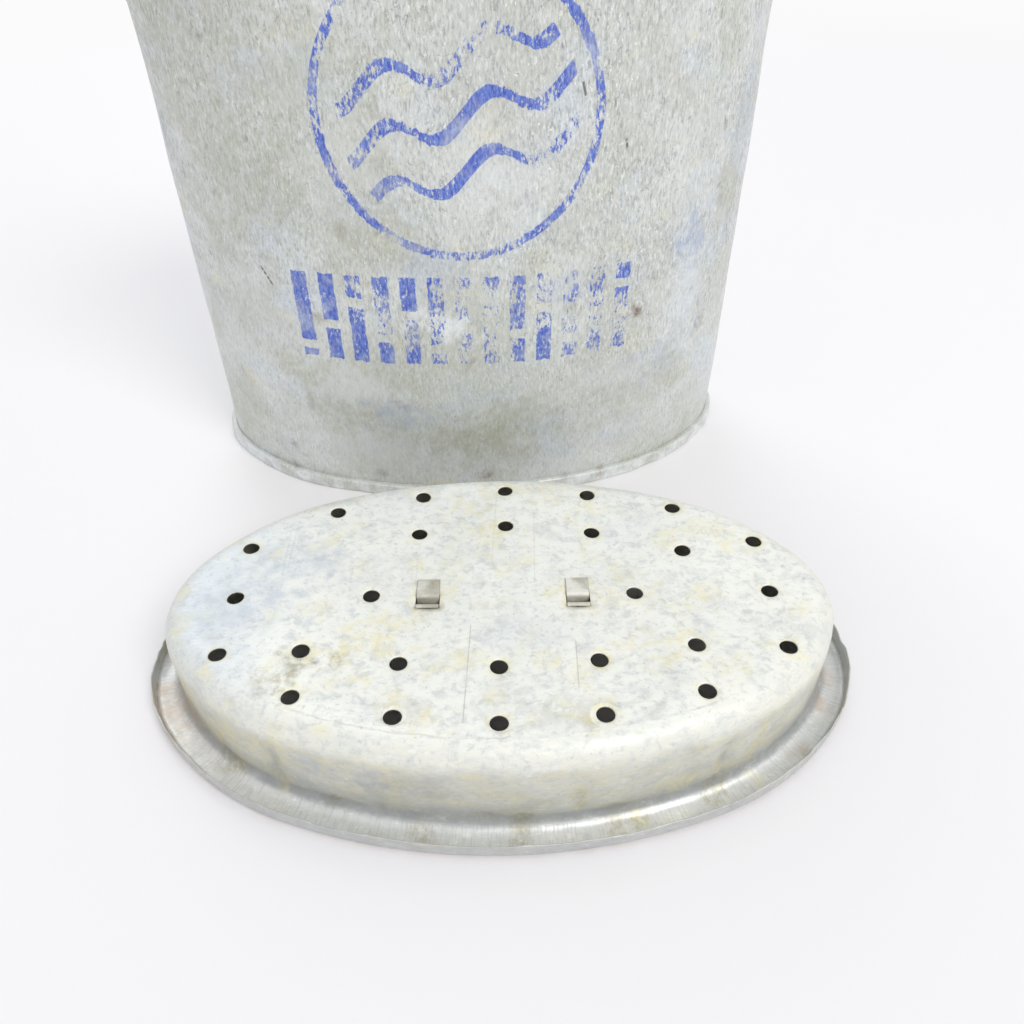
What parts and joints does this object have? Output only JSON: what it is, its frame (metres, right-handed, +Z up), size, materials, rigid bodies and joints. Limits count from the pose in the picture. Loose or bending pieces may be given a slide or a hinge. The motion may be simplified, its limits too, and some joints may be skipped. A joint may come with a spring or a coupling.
{
  "type": "galvanised oval bait bucket with perforated lid",
  "caption": "Weathered oval bucket of galvanised sheet with wired rim, riveted ears and wire bail, its perforated dished lid lying upside down in front.",
  "frame": {"origin": "middle of the footprint on the ground", "axes": "+Z up, +X along the bucket's long side towards its right end seen from the front, +Y from the lid towards the bucket"},
  "size_m": [0.2882, 0.3494, 0.254],
  "materials": {
    "galvanised": "weathered matt",
    "galvanised_lid": "weathered satin",
    "fittings": "stained"
  },
  "bodies": {
    "root": {"body": "galvanised", "bottom": "galvanised", "rim_wire": "fittings", "ear_left": "fittings", "ear_right": "fittings", "rivet_left_upper": "fittings", "rivet_left_lower": "fittings", "rivet_right_upper": "fittings", "rivet_right_lower": "fittings", "lid": "galvanised_lid", "lid_clip_left": "galvanised_lid", "lid_clip_right": "galvanised_lid"},
    "bail": {"bail": "fittings"},
    "lid_handle": {"lid_handle": "fittings"}
  },
  "joints": [
    {"name": "bail_hinge", "type": "hinge", "parent": "root", "child": "bail", "pos_m": [0, 0.09175, 0.2349], "axis": [1, 0, 0], "range_deg": [0, 295]},
    {"name": "lid_handle_hinge", "type": "hinge", "parent": "root", "child": "lid_handle", "pos_m": [0.00588, -0.0944, 0.0349], "axis": [0.9985, -0.0541, 0], "range_deg": [-86, 86]}
  ]
}
